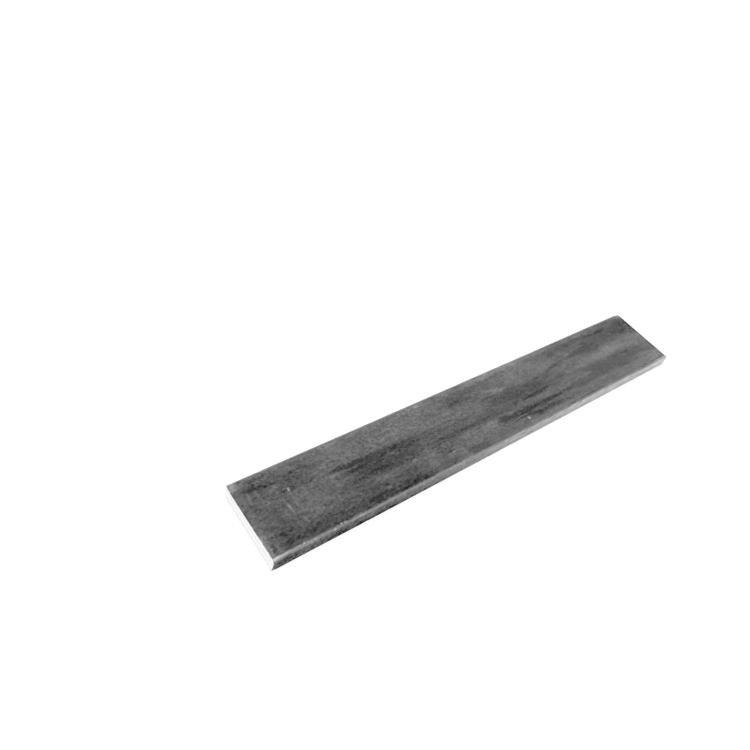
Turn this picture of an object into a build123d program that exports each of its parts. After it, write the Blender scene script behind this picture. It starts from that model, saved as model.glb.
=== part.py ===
from build123d import *
import os

# Hot-rolled mild steel flat bar, saw-cut to a short length. Millimetres.
# The bar lies on its wide face: X runs along its length, Y across its width and Z up
# through its thickness. The origin is the middle of the underside.

# ---- driving dimensions ----
bar_length = 200.0      # between the two saw cuts
bar_width = 30.0        # rolled width, over the crowns of the narrow edges
bar_thickness = 6.0     # rolled thickness
corner_radius = 1.2     # the rolls leave the four long corners round
edge_crown = 0.15       # how far each narrow edge swells at mid-thickness
arris_break = 0.15      # the file's break of the sharp edges round each cut end


def rolled_section():
    """The bar's cross-section, in the YZ plane, standing on Z = 0.

    The wide faces are flat. Each narrow edge is one shallow arc, the crown that the
    edging rolls leave, and every corner is a round tangent to its face and its crown.
    """
    crown_y = bar_width / 2
    shoulder_y = crown_y - edge_crown
    mid_z = bar_thickness / 2
    with BuildSketch(Plane.YZ) as section:
        with BuildLine():
            Line((-shoulder_y, 0), (shoulder_y, 0))
            ThreePointArc((shoulder_y, 0), (crown_y, mid_z), (shoulder_y, bar_thickness))
            Line((shoulder_y, bar_thickness), (-shoulder_y, bar_thickness))
            ThreePointArc((-shoulder_y, bar_thickness), (-crown_y, mid_z), (-shoulder_y, 0))
        make_face()
        fillet(section.vertices(), radius=corner_radius)
    return section.sketch


def flat_bar():
    """The rolled section drawn out both ways from the middle, then its ends deburred."""
    bar = extrude(rolled_section(), amount=bar_length / 2, both=True)
    left_cut, right_cut = bar.faces().filter_by(Axis.X)
    return chamfer(left_cut.edges() + right_cut.edges(), length=arris_break)


def write_parts():
    os.makedirs("parts", exist_ok=True)
    export_step(flat_bar(), "parts/flat_bar.step")


write_parts()
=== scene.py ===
import math

import bpy
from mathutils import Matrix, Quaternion, Vector, noise


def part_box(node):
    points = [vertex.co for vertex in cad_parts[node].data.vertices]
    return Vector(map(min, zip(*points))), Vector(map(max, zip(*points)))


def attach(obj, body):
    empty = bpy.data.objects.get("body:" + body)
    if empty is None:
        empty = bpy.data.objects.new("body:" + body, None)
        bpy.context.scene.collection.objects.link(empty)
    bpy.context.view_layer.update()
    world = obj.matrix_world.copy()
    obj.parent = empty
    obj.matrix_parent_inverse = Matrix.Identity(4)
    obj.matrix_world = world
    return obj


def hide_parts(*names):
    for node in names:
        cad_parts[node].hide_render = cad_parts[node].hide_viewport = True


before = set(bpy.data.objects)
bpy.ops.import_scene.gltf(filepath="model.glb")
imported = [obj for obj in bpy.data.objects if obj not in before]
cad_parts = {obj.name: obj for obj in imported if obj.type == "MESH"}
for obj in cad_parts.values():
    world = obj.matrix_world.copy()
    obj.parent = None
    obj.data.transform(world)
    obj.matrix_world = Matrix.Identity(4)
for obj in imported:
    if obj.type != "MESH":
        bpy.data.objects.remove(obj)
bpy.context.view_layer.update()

# A short length of hot-rolled steel flat bar, lying on its wide face. It left the mill
# with a skin of dark scale, which the rollers drew out along its length. Handling has
# rubbed the long corners back to steel and scratched the top, and a saw cut both ends.
# Much of the near edge is drawn as clean steel for a painted sheen, the rubbed near corner
# carries a painted highlight, and some dark marks are painted shade.
# Everything is in metres, in the frame's own axes: X along the bar, Y across it, Z up.
# Marks are placed in millimetres over the skin: from_left is how far a point is from the
# left end, and from_near how far it is in from the near edge, or below 0 how far down it.

MM = 0.001
low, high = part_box("flat_bar")
LENGTH = high.x - low.x
THICKNESS = high.z - low.z
WIDTH = 30.0 * MM               # over the crowns of the narrow edges

# ---- the rolled section and its cuts ----
CORNER_RADIUS = 1.2 * MM        # the rolls leave the four long corners round
EDGE_CROWN = 0.15 * MM          # swell of each narrow edge at mid-thickness
ARRIS_BREAK = 0.15 * MM         # the file's break of the sharp edges round a cut end
CUT_SWAY = 0.45 * MM            # how far the saw wandered off square at the left end
SWAY_FADE = 5.0                 # millimetres from the left end to where that dies out
SAW_STEP = 0.035 * MM           # height of the steps that the teeth left
BREAKOUT = 0.05 * MM            # how far the last strip of the cut lies back

# ---- how finely the skin is divided ----
FACE_STEPS = 76                 # across each wide face
ROUND_STEPS = 5                 # round each long corner
EDGE_STEPS = 12                 # up each narrow edge, between its corners
STATIONS = 480                  # along the bar
LEFT_SPACING = 0.75             # spacing at the left end, over the average


# ======================================================================
# The bar's shape
# ======================================================================

def smooth(value, start, end):
    """0 before start, 1 past end, eased between."""
    t = min(max((value - start) / (end - start), 0.0), 1.0)
    return t * t * (3 - 2 * t)


def rolled_section():
    """The section's outline as (y, z, angle of its outward normal), from the middle of
    the top over the far edge, along the underside and back up the near edge."""
    half_thick = THICKNESS / 2
    crown_radius = (half_thick ** 2 + EDGE_CROWN ** 2) / (2 * EDGE_CROWN)
    crown_angle = math.asin((half_thick - CORNER_RADIUS) / (crown_radius - CORNER_RADIUS))
    crown_y = WIDTH / 2 - crown_radius
    corner_y = crown_y + (crown_radius - CORNER_RADIUS) * math.cos(crown_angle)
    corner_z = half_thick - CORNER_RADIUS
    quarter = []
    for step in range(FACE_STEPS // 2):
        quarter.append((corner_y * step / (FACE_STEPS // 2), half_thick, math.pi / 2))
    for step in range(ROUND_STEPS):
        angle = math.pi / 2 + (crown_angle - math.pi / 2) * step / ROUND_STEPS
        quarter.append((corner_y + CORNER_RADIUS * math.cos(angle),
                        corner_z + CORNER_RADIUS * math.sin(angle), angle))
    for step in range(EDGE_STEPS // 2 + 1):
        angle = crown_angle * (1 - step / (EDGE_STEPS // 2))
        quarter.append((crown_y + crown_radius * math.cos(angle),
                        crown_radius * math.sin(angle), angle))
    far_half = quarter + [(y, -z, -angle) for y, z, angle in reversed(quarter[:-1])]
    near_half = [(-y, z, math.pi - angle) for y, z, angle in reversed(far_half[1:-1])]
    return [(y, z + half_thick, angle) for y, z, angle in far_half + near_half]


def stations():
    """Where the rings stand along the bar: one at each cut, one at each arris, and the
    rest between them, a little closer towards the left end."""
    arris = LENGTH / 2 - ARRIS_BREAK
    middle = []
    for step in range(STATIONS + 1):
        share = step / STATIONS
        share = LEFT_SPACING * share + (1 - LEFT_SPACING) * share ** 2
        middle.append(-arris + 2 * arris * share)
    return [-LENGTH / 2] + middle + [LENGTH / 2]


# Knocks on the long corners: millimetres from the left end, which corner (y side and
# z side), half its length, how far it reaches round the corner, and how deep it is, or
# below 0 how much fuller the rolls left the corner there.
KNOCKS = [
    (2.0, -1, 1, 17.0, 2.6, 0.16),
    (0.0, -1, 1, 1.8, 1.6, 0.08),
    (6.5, -1, 1, 1.6, 1.7, 0.10),
    (21.5, -1, 1, 1.8, 1.7, 0.10),
    (41.5, -1, 1, 1.2, 1.7, 0.12),
    (78.0, -1, 1, 2.6, 1.7, 0.06),
    (121.0, -1, 1, 1.5, 1.7, 0.06),
    (190.0, -1, 1, 90.0, 1.4, -0.17),
    (200.0, -1, 1, 8.0, 1.4, -0.16),
    (12.0, 1, 1, 1.8, 1.7, 0.06),
    (58.0, 1, 1, 2.4, 1.7, 0.06),
    (97.0, 1, 1, 1.4, 1.7, 0.08),
    (140.0, 1, 1, 2.0, 1.7, 0.06),
    (182.0, 1, 1, 45.0, 1.4, -0.10),
    (200.0, 1, 1, 2.4, 1.8, 0.28),
    (0.0, -1, -1, 2.0, 2.0, 0.20),
    (5.0, -1, -1, 36.0, 2.0, 0.11),
    (110.0, -1, -1, 150.0, 1.7, 0.06),
    (34.0, -1, -1, 2.0, 1.7, 0.10),
    (102.0, -1, -1, 1.6, 1.7, 0.08),
    (150.0, 1, -1, 2.2, 1.7, 0.12),
    (66.0, 1, -1, 1.5, 1.7, 0.10),
]
KNOCK_CORE = 0.2                # the inner share of a knock that has its full depth


def knock_depth(x, y, z):
    """How far the knocks have driven this point of the skin in."""
    depth = 0.0
    for place, y_side, z_side, half_long, reach, deepest in KNOCKS:
        along = abs((x + LENGTH / 2) / MM - place)
        if along > half_long:
            continue
        corner = Vector(((y_side * WIDTH / 2 - y) / MM,
                         (THICKNESS / 2 + z_side * THICKNESS / 2 - z) / MM))
        near = 1 - smooth(corner.length, KNOCK_CORE * reach, reach)
        depth += deepest * near * (1 - smooth(along / half_long, KNOCK_CORE, 1.0))
    return depth * MM


def cut_sway(x, y, z):
    """How far along the bar the left cut's sway moves this point: its far corner was
    knocked in, and its foot stands out where the blade broke through at the near edge."""
    near_cut = 1 - smooth((x + LENGTH / 2) / MM, 0.0, SWAY_FADE)
    far_corner = 0.25 * smooth(y / MM, 9.0, 15.0) + 0.75 * smooth(y / MM, 13.2, 15.0)
    foot = (1 - smooth(z / THICKNESS, 0.35, 1.05)) * (1 - smooth(y / MM, -15.0, -12.0))
    return CUT_SWAY * near_cut * (far_corner - 0.95 * foot)


def saw_relief(y, z):
    """The steps that the saw's teeth left as they went down through the bar."""
    tooth = noise.noise(Vector((y / (16 * MM), z / (0.55 * MM), 5)))
    return SAW_STEP * tooth - BREAKOUT * (1 - smooth(z / MM, 0.35, 0.75))


# ======================================================================
# The skin's own unevenness
# ======================================================================

# Layers of it: size in millimetres along the bar and round it, a shift that keeps it
# apart from the others, and how much it adds.
RELIEF_LAYERS = (               # in millimetres of height
    (26.0, 7.0, 0, 0.020),      # long shallow waves from the rolls
    (2.4, 1.3, 40, 0.008),      # the scale's scabs
    (0.9, 0.8, 80, 0.006),      # and its pits
)
HIDDEN_SIDE_LAYERS = (          # in tone, for the underside and the far edge
    (24.0, 3.2, 20, 0.30),      # streaks that the rollers drew out
    (15.0, 7.0, 60, 0.24),      # patches of thicker and thinner scale
)


def layered(x, y, z, layers):
    """The sum of the layers of noise at this point of the skin."""
    total = 0.0
    for along, around, shift, amount in layers:
        place = Vector((x / (along * MM), y / (around * MM), z / (around * MM) + shift))
        total += amount * noise.noise(place)
    return total


def unevenness(from_left, from_near, along, across, shift):
    """Noise over the flattened skin, in lumps of this size in millimetres."""
    return noise.noise(Vector((from_left / along, from_near / across, shift)))


# ======================================================================
# Marks on the skin
# ======================================================================

# Streaks, patches and specks of thicker or thinner scale, and a few broad stretches of
# painted shade: from_left and from_near of the middle, half its length, half its width, and
# how much darker (below 0) or lighter it is.
STRAIGHT_MARKS = [
    # the longest streaks and the broadest shades
    (0.0, 19.0, 0.3, 11.0, -0.20), (0.6, 6.0, 1.4, 5.0, 0.20), (1.0, 15.0, 2.4, 15.0, 0.07),
    # Painted shade: the wide faint one at 20 mm darkens the left part of the top, and the long
    # dark ones down the near edge at 24, 30 and 42 mm darken its left half towards its foot.
    (8.0, 15.5, 9.0, 5.5, -0.09), (20.0, 14.0, 34.0, 14.0, -0.03), (20.5, 23.4, 9.5, 2.6, -0.17),
    (24.0, -3.0, 50.0, 4.0, -0.07), (30.0, -4.4, 46.0, 1.5, -0.26), (36.0, 1.9, 27.0, 0.35, -0.16),
    (42.0, -3.6, 40.0, 1.9, -0.17), (46.0, 6.6, 11.0, 2.2, -0.10), (50.0, 2.9, 12.5, 1.7, -0.42),
    (50.5, 14.6, 15.0, 4.4, -0.31), (60.0, 24.0, 22.0, 4.0, 0.05), (70.0, 15.2, 10.0, 2.6, -0.08),
    (72.0, 17.3, 10.0, 0.4, -0.12), (80.0, 14.0, 14.0, 3.0, -0.06),
    (100.0, 28.7, 100.0, 1.5, 0.08), (113.0, 28.3, 26.0, 1.3, 0.12),
    (116.0, -3.0, 12.0, 1.4, -0.16), (116.0, 16.0, 14.0, 3.4, -0.19),
    (118.0, 23.5, 13.0, 3.2, 0.06), (127.0, 7.4, 9.0, 0.8, -0.38), (127.0, 14.4, 9.0, 1.7, -0.12),
    (131.0, 2.1, 17.0, 0.9, 0.13), (148.0, 1.5, 9.0, 0.3, -0.18), (156.0, 7.6, 12.0, 1.8, -0.11),
    (160.0, 26.0, 12.0, 1.4, -0.16), (163.0, 20.6, 9.5, 1.6, -0.20),
    (172.5, 9.6, 18.0, 3.0, -0.15), (178.0, 22.4, 14.0, 3.4, -0.14), (180.0, 3.6, 17.0, 2.2, 0.08),
    (190.5, 23.4, 10.0, 3.6, -0.17), (195.0, 14.0, 5.0, 4.5, 0.10), (199.4, 22.0, 1.0, 6.0, -0.24),
    (200.0, 15.8, 0.5, 11.8, -0.42),
    # the top, 0 to 20 mm from the left end
    (1.3, 20.9, 0.5, 0.5, -0.26), (1.6, 3.5, 1.6, 1.2, -0.08), (1.6, 14.8, 2.0, 0.9, 0.12),
    (2.0, 4.8, 0.6, 0.5, -0.36), (2.2, 3.6, 0.8, 0.5, -0.24), (3.0, 19.6, 1.5, 2.0, -0.12),
    (3.0, 24.3, 3.0, 0.9, -0.08), (3.2, 6.0, 1.4, 0.9, 0.11), (3.2, 25.8, 1.2, 1.1, -0.08),
    (3.4, 19.5, 0.5, 0.5, -0.24), (3.9, 24.7, 0.6, 0.6, -0.16), (4.0, 4.2, 0.9, 0.8, 0.14),
    (6.0, 21.4, 1.8, 1.4, -0.09), (6.0, 23.5, 2.4, 1.0, -0.16), (6.0, 24.8, 1.0, 0.6, -0.24),
    (6.6, 3.2, 1.0, 0.6, -0.08), (6.9, 7.0, 0.9, 0.5, -0.36), (7.0, 27.0, 0.7, 0.6, -0.22),
    (7.1, 25.7, 0.7, 0.5, -0.20), (7.5, 6.1, 0.9, 0.5, -0.28), (7.6, 18.3, 1.8, 1.6, 0.10),
    (8.0, 9.5, 5.0, 1.3, -0.13), (8.4, 13.0, 1.5, 1.9, -0.08), (8.4, 20.5, 1.1, 2.4, -0.11),
    (9.1, 24.7, 0.6, 0.5, -0.60), (9.2, 22.7, 2.2, 0.9, -0.16), (9.6, 6.9, 1.3, 0.5, -0.38),
    (9.6, 25.4, 1.8, 1.0, -0.18), (10.2, 3.8, 1.1, 0.5, -0.28), (10.4, 23.9, 0.7, 0.6, -0.45),
    (10.5, 5.4, 7.5, 3.8, -0.20), (11.0, 19.6, 1.6, 1.6, -0.08), (11.0, 25.0, 1.1, 0.8, -0.12),
    (12.6, 22.2, 2.4, 0.9, 0.09), (12.6, 23.4, 1.2, 0.9, -0.08), (13.4, 23.7, 1.4, 0.6, -0.26),
    (14.0, 6.4, 1.2, 1.4, 0.12), (14.5, 21.2, 2.0, 0.8, -0.12), (14.9, 18.4, 1.0, 0.8, -0.14),
    (15.0, 9.3, 1.7, 1.0, -0.20), (15.0, 19.4, 1.4, 0.6, -0.26), (15.2, 4.0, 1.8, 0.9, 0.13),
    (16.0, 14.6, 0.8, 1.8, 0.09), (17.6, 19.6, 1.4, 1.6, -0.20), (18.0, 12.8, 1.5, 1.2, -0.08),
    (18.3, 22.7, 1.0, 0.5, -0.26),
    # the top, 20 to 40 mm
    (20.2, 24.5, 1.0, 0.6, -0.26), (20.5, 9.6, 3.0, 2.0, 0.06), (21.4, 6.5, 1.4, 1.1, -0.12),
    (22.0, 19.5, 4.2, 1.2, -0.15), (23.0, 3.8, 8.0, 2.3, -0.27), (24.0, 13.2, 3.6, 2.0, 0.07),
    (25.0, 9.3, 2.5, 1.0, -0.12), (26.0, 16.3, 1.5, 1.0, -0.12), (26.5, 22.3, 3.5, 1.0, 0.09),
    (27.5, 12.6, 2.2, 1.1, -0.13), (29.0, 7.8, 2.4, 0.8, -0.10), (30.0, 17.3, 1.9, 0.9, 0.12),
    (32.0, 7.2, 3.0, 1.5, -0.14), (32.4, 13.0, 2.2, 1.1, 0.09), (33.0, 20.6, 1.0, 1.0, 0.13),
    (35.0, 11.0, 6.0, 2.2, -0.12), (36.0, 3.2, 7.0, 2.1, -0.27), (36.0, 5.7, 1.2, 0.9, -0.09),
    (37.0, 23.8, 8.0, 3.8, 0.06), (38.2, 3.0, 2.6, 1.0, 0.14), (38.2, 3.6, 0.8, 0.7, -0.30),
    (38.2, 16.2, 1.4, 0.7, 0.10), (39.0, 7.6, 6.0, 2.6, -0.14),
    # the top, 40 to 60 mm
    (40.2, 17.4, 1.6, 0.7, -0.18), (40.5, 15.8, 4.0, 0.6, -0.28), (41.2, 25.2, 3.0, 0.8, -0.07),
    (41.8, 9.0, 3.0, 1.8, 0.08), (42.5, 9.8, 2.8, 1.2, -0.10), (42.8, 15.8, 1.3, 0.9, 0.13),
    (43.6, 4.7, 1.5, 0.9, -0.14), (44.5, 18.0, 4.5, 0.8, -0.14), (46.0, 6.1, 0.9, 0.6, -0.44),
    (46.5, 11.9, 7.0, 1.0, -0.20), (47.5, 5.1, 1.4, 0.7, -0.12), (48.6, 24.0, 1.6, 1.4, -0.08),
    (49.0, 10.6, 3.0, 0.8, -0.12), (49.4, 15.6, 1.1, 0.9, 0.11), (49.6, 19.8, 1.5, 0.8, 0.14),
    (50.2, 3.5, 1.1, 1.1, 0.12), (51.5, 6.5, 1.8, 0.4, -0.26), (51.5, 24.5, 1.5, 1.4, -0.09),
    (53.4, 12.6, 1.4, 1.0, 0.10), (54.2, 9.8, 2.0, 0.9, -0.10), (55.0, 4.8, 1.4, 0.8, -0.09),
    (55.0, 5.4, 2.2, 1.0, -0.12), (55.0, 25.6, 1.6, 1.3, -0.11), (55.3, 8.4, 1.2, 0.8, 0.10),
    (56.0, 7.4, 3.2, 1.4, -0.12), (57.0, 10.6, 7.0, 0.9, -0.12), (57.0, 17.2, 4.5, 0.8, -0.14),
    (58.0, 9.4, 1.4, 0.8, -0.10), (58.0, 16.9, 1.6, 0.7, -0.26), (58.7, 6.9, 0.7, 0.5, -0.26),
    (59.3, 26.2, 1.6, 1.4, -0.10), (59.8, 11.4, 1.4, 0.7, -0.10),
    # the top, 60 to 80 mm
    (60.0, 5.3, 4.0, 1.5, -0.18), (60.2, 18.2, 1.4, 0.8, -0.09), (60.5, 9.3, 1.4, 0.7, 0.12),
    (61.8, 23.0, 1.8, 1.8, 0.11), (63.0, 17.5, 2.8, 0.9, -0.18), (64.2, 8.3, 1.4, 0.7, 0.08),
    (64.5, 15.6, 4.0, 0.7, -0.14), (65.2, 12.0, 1.3, 2.2, -0.10), (67.6, 17.0, 1.2, 1.6, -0.08),
    (69.5, 20.2, 3.2, 1.2, 0.08), (71.0, 12.3, 6.0, 0.3, -0.14), (71.2, 8.4, 1.8, 1.5, -0.17),
    (71.7, 5.6, 1.6, 0.9, -0.09), (72.0, 25.4, 1.3, 2.2, 0.07), (72.2, 12.2, 2.0, 1.1, 0.10),
    (73.0, 10.4, 6.0, 0.25, -0.34), (74.0, 8.0, 2.0, 0.25, -0.16), (74.5, 7.2, 1.8, 0.8, -0.10),
    (74.8, 20.3, 1.0, 1.0, 0.14), (75.5, 6.4, 2.0, 0.25, -0.16), (76.0, 12.9, 1.5, 0.8, 0.10),
    (76.5, 9.1, 1.8, 0.25, -0.30), (77.2, 22.0, 2.2, 1.2, -0.09), (77.3, 17.5, 1.9, 1.1, 0.10),
    (78.6, 9.8, 2.0, 1.8, -0.16), (79.8, 7.2, 1.0, 1.5, -0.12),
    # the top, 80 to 100 mm
    (83.8, 15.2, 1.6, 1.1, -0.09), (84.5, 17.6, 2.8, 0.9, 0.10), (84.5, 20.0, 2.4, 1.4, 0.08),
    (85.0, 22.0, 2.2, 1.0, 0.08), (87.2, 26.8, 2.4, 1.2, 0.10), (88.0, 7.3, 1.5, 1.3, 0.09),
    (88.0, 15.2, 5.0, 0.4, -0.14), (90.5, 22.9, 4.0, 0.9, -0.13), (91.0, 19.0, 4.0, 1.6, 0.05),
    (91.4, 3.0, 1.9, 1.1, 0.12), (92.5, 23.6, 8.0, 2.9, -0.14), (93.0, 25.8, 2.2, 0.9, 0.09),
    (93.2, 4.6, 1.4, 0.8, -0.09), (97.0, 9.0, 1.7, 2.4, 0.11), (97.5, 21.8, 2.6, 0.8, -0.12),
    (97.6, 3.0, 1.9, 0.8, -0.12), (97.8, 23.4, 3.4, 0.9, 0.12), (98.5, 17.0, 1.8, 1.4, 0.06),
    # the top, 100 to 120 mm
    (100.0, 12.0, 7.0, 2.6, -0.10), (100.4, 13.8, 2.6, 2.6, -0.09), (102.4, 25.3, 3.6, 1.2, -0.19),
    (103.0, 5.8, 1.8, 1.3, -0.10), (103.0, 18.9, 3.6, 0.5, -0.18), (103.0, 25.8, 3.2, 1.1, 0.10),
    (103.6, 8.2, 3.6, 1.3, -0.34), (106.0, 18.7, 1.2, 0.9, -0.11), (106.5, 6.8, 4.2, 0.7, -0.16),
    (107.8, 24.8, 1.8, 0.8, -0.09), (108.0, 5.4, 3.0, 0.3, -0.22), (108.8, 18.8, 1.1, 2.2, 0.09),
    (109.0, 11.2, 5.0, 1.7, -0.12), (109.5, 4.2, 2.8, 0.9, 0.09), (109.5, 7.8, 3.6, 1.2, -0.30),
    (109.5, 24.4, 2.0, 0.9, -0.08), (112.8, 8.1, 1.5, 0.4, -0.44), (113.0, 5.4, 3.4, 0.4, -0.28),
    (113.4, 19.5, 1.2, 1.0, 0.09), (113.8, 12.0, 1.6, 1.0, -0.22), (114.0, 17.0, 2.2, 0.7, -0.11),
    (114.8, 4.3, 1.8, 0.8, -0.10), (114.8, 22.0, 1.7, 1.2, -0.13), (115.0, 7.5, 2.4, 2.4, -0.09),
    (115.6, 5.6, 2.2, 0.9, -0.16), (116.4, 8.3, 2.4, 0.8, -0.24), (117.2, 11.2, 1.2, 1.0, -0.13),
    (117.6, 5.7, 1.9, 0.6, -0.14), (118.4, 4.8, 3.4, 0.6, -0.36), (118.8, 11.7, 2.0, 0.4, -0.34),
    (119.0, 12.6, 2.6, 0.8, -0.16), (119.4, 8.3, 1.5, 0.6, -0.16), (119.6, 3.8, 2.2, 0.8, -0.14),
    # the top, 120 to 150 mm
    (120.5, 3.5, 2.0, 1.3, -0.14), (121.4, 14.4, 2.2, 0.9, 0.10), (121.5, 11.8, 1.6, 0.5, -0.26),
    (121.5, 24.0, 2.6, 3.0, 0.08), (122.6, 27.0, 2.6, 0.9, 0.09), (122.8, 11.3, 1.7, 0.8, -0.16),
    (123.0, 6.2, 2.8, 0.7, -0.20), (123.0, 19.4, 3.4, 1.2, 0.10), (123.0, 21.6, 2.8, 0.7, 0.10),
    (123.4, 18.4, 1.4, 0.8, 0.09), (123.6, 16.4, 1.6, 0.8, -0.15), (124.5, 15.3, 3.4, 0.8, 0.13),
    (126.5, 4.4, 8.0, 1.0, -0.26), (127.2, 5.5, 1.8, 0.7, -0.12), (128.0, 11.3, 2.2, 0.6, -0.12),
    (128.6, 13.9, 1.6, 0.6, -0.11), (130.0, 5.5, 4.0, 0.6, -0.10), (130.5, 20.6, 1.5, 1.2, 0.10),
    (130.5, 25.3, 5.0, 2.2, 0.10), (130.6, 17.6, 1.8, 1.0, -0.09), (131.2, 18.0, 1.8, 0.7, -0.14),
    (132.0, 16.6, 8.0, 1.8, -0.10), (133.0, 23.3, 2.8, 0.8, 0.10), (134.6, 8.7, 1.9, 0.8, -0.10),
    (135.0, 12.3, 4.5, 0.9, -0.12), (135.5, 16.5, 1.9, 0.9, -0.12), (136.3, 4.2, 1.4, 0.8, -0.10),
    (136.3, 23.3, 1.7, 0.9, 0.12), (136.5, 7.9, 2.5, 0.8, -0.14), (136.6, 3.7, 1.5, 1.0, -0.10),
    (137.0, 20.8, 4.0, 1.6, 0.09), (137.5, 13.8, 5.5, 0.5, -0.18), (139.8, 22.2, 1.6, 1.4, 0.10),
    (142.0, 13.5, 1.4, 1.4, -0.09), (143.0, 14.7, 2.6, 1.2, -0.14), (143.6, 22.0, 2.6, 1.1, 0.13),
    (144.0, 9.8, 3.4, 0.8, 0.08), (146.0, 26.7, 3.2, 0.8, -0.14), (148.0, 17.5, 1.8, 0.8, 0.10),
    (148.0, 24.6, 3.2, 1.3, -0.16), (148.3, 14.0, 2.4, 1.0, 0.12), (148.5, 6.6, 2.6, 0.9, -0.12),
    (149.0, 10.0, 2.2, 0.8, 0.09),
    # the top, 150 to 180 mm
    (151.8, 17.7, 1.4, 0.8, 0.09), (153.5, 20.0, 3.0, 0.7, -0.08), (153.6, 14.4, 2.8, 1.2, 0.11),
    (154.0, 24.4, 3.0, 1.2, -0.07), (155.0, 9.6, 4.0, 0.8, 0.07), (155.5, 9.7, 5.0, 1.0, 0.08),
    (157.4, 13.4, 1.5, 1.1, 0.11), (158.0, 11.8, 6.0, 1.2, -0.09), (158.2, 25.4, 1.3, 1.8, -0.08),
    (159.8, 5.2, 2.4, 1.3, 0.09), (161.6, 25.2, 1.1, 1.3, 0.10), (163.0, 8.2, 4.0, 1.6, 0.07),
    (163.8, 16.3, 2.0, 0.8, -0.11), (164.8, 3.6, 1.2, 0.9, -0.09), (167.0, 23.0, 2.0, 1.0, -0.12),
    (168.0, 18.8, 4.0, 1.0, -0.15), (169.3, 12.3, 1.7, 1.2, 0.09), (170.6, 26.0, 1.5, 1.6, -0.12),
    (173.4, 26.0, 2.6, 0.8, -0.20), (175.0, 6.2, 4.8, 0.9, -0.10), (176.3, 10.8, 1.5, 1.0, -0.10),
    (176.4, 16.8, 1.5, 1.0, 0.10), (176.8, 27.0, 1.2, 0.9, -0.10), (178.0, 6.0, 2.6, 0.8, -0.08),
    (178.0, 25.4, 5.0, 0.9, -0.20),
    # the top, 180 to 200 mm
    (180.2, 10.1, 1.9, 0.8, 0.12), (181.4, 25.2, 3.4, 1.6, -0.08), (181.8, 26.2, 3.2, 0.9, -0.26),
    (182.5, 11.5, 2.8, 0.7, -0.14), (185.0, 23.5, 3.5, 1.5, 0.12), (187.2, 16.3, 4.0, 1.0, -0.12),
    (187.6, 6.2, 2.0, 1.6, 0.09), (188.2, 13.2, 2.0, 1.0, 0.08), (191.4, 3.6, 1.6, 0.8, -0.09),
    (191.7, 19.6, 1.7, 0.9, -0.12), (192.0, 10.6, 2.4, 0.7, -0.10), (192.0, 15.2, 2.6, 0.9, -0.14),
    (193.0, 7.0, 4.6, 1.4, 0.09), (194.0, 3.6, 4.5, 2.0, 0.18), (194.2, 20.8, 3.2, 1.8, -0.10),
    (194.8, 11.6, 1.5, 1.8, -0.10), (195.0, 23.7, 1.7, 1.1, -0.12), (195.0, 26.4, 3.6, 1.2, -0.16),
    (195.5, 5.9, 1.0, 0.7, 0.16), (195.6, 24.7, 0.6, 0.5, -0.70), (196.0, 18.6, 1.3, 0.8, -0.12),
    (196.2, 7.2, 0.8, 0.5, -0.18), (196.8, 5.1, 0.8, 0.6, 0.12), (196.8, 18.6, 0.6, 0.5, -0.34),
    (196.9, 25.7, 0.5, 0.4, -0.20), (197.1, 22.3, 0.6, 0.4, -0.44), (197.2, 4.4, 1.4, 0.9, -0.14),
    (197.2, 21.2, 0.6, 0.5, 0.24), (197.2, 23.3, 0.6, 0.5, 0.26), (197.6, 4.6, 2.0, 1.8, 0.16),
    (197.8, 20.3, 0.6, 0.5, -0.44), (197.8, 24.2, 0.5, 0.5, -0.60), (198.4, 16.4, 1.5, 0.9, 0.14),
    (198.4, 21.7, 0.6, 0.4, -0.44), (198.9, 9.2, 0.7, 0.6, -0.20), (199.2, 7.5, 0.6, 0.7, -0.28),
    (199.2, 22.8, 0.5, 0.5, -0.34), (199.2, 24.6, 0.6, 0.6, -0.36), (199.2, 26.2, 0.5, 0.5, -0.30),
    # along the far edge
    (0.6, 29.3, 1.6, 1.2, 0.16), (1.0, 27.9, 2.2, 1.4, 0.26), (4.0, 28.9, 1.0, 0.4, -0.24),
    (8.2, 27.6, 2.6, 1.0, -0.16), (12.0, 27.7, 1.2, 0.9, -0.14), (21.2, 28.2, 1.7, 1.1, -0.12),
    (35.5, 27.2, 2.5, 1.5, 0.08), (69.0, 27.3, 2.2, 0.8, 0.10), (77.5, 27.4, 4.5, 1.5, 0.15),
    (80.0, 27.6, 2.0, 0.7, -0.10), (86.0, 27.8, 2.4, 0.7, -0.10), (94.0, 27.7, 4.6, 0.9, -0.10),
    (96.4, 29.0, 1.4, 0.8, -0.10), (97.0, 28.6, 5.0, 0.6, -0.12), (106.3, 29.0, 1.5, 1.0, -0.16),
    (109.5, 27.3, 1.9, 0.9, 0.12), (112.5, 28.8, 2.0, 0.7, 0.14), (120.0, 29.2, 1.2, 0.8, 0.13),
    (126.8, 28.0, 2.1, 1.8, 0.12), (140.3, 28.0, 1.4, 1.1, 0.12), (145.0, 27.6, 1.7, 0.9, 0.11),
    (155.0, 28.9, 3.0, 0.5, -0.22), (167.5, 27.8, 3.2, 0.8, 0.12), (176.0, 28.9, 3.0, 0.5, -0.16),
    (186.5, 28.5, 5.0, 0.8, -0.17), (197.0, 28.7, 1.5, 1.1, 0.15), (199.2, 28.6, 1.6, 1.2, 0.26),
    # along the near corner and just in from it
    (1.4, 2.6, 2.0, 1.3, -0.07), (1.7, 2.9, 0.5, 0.5, -0.28), (6.0, 2.9, 2.2, 1.4, -0.13),
    (12.5, 0.5, 4.5, 0.6, 0.16), (15.5, 2.2, 3.5, 0.8, -0.18), (16.6, 2.2, 0.9, 0.6, 0.10),
    (18.6, 1.9, 1.2, 0.4, -0.14), (22.9, 2.3, 0.8, 0.5, -0.20), (24.3, 1.7, 0.5, 0.4, 0.24),
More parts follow.
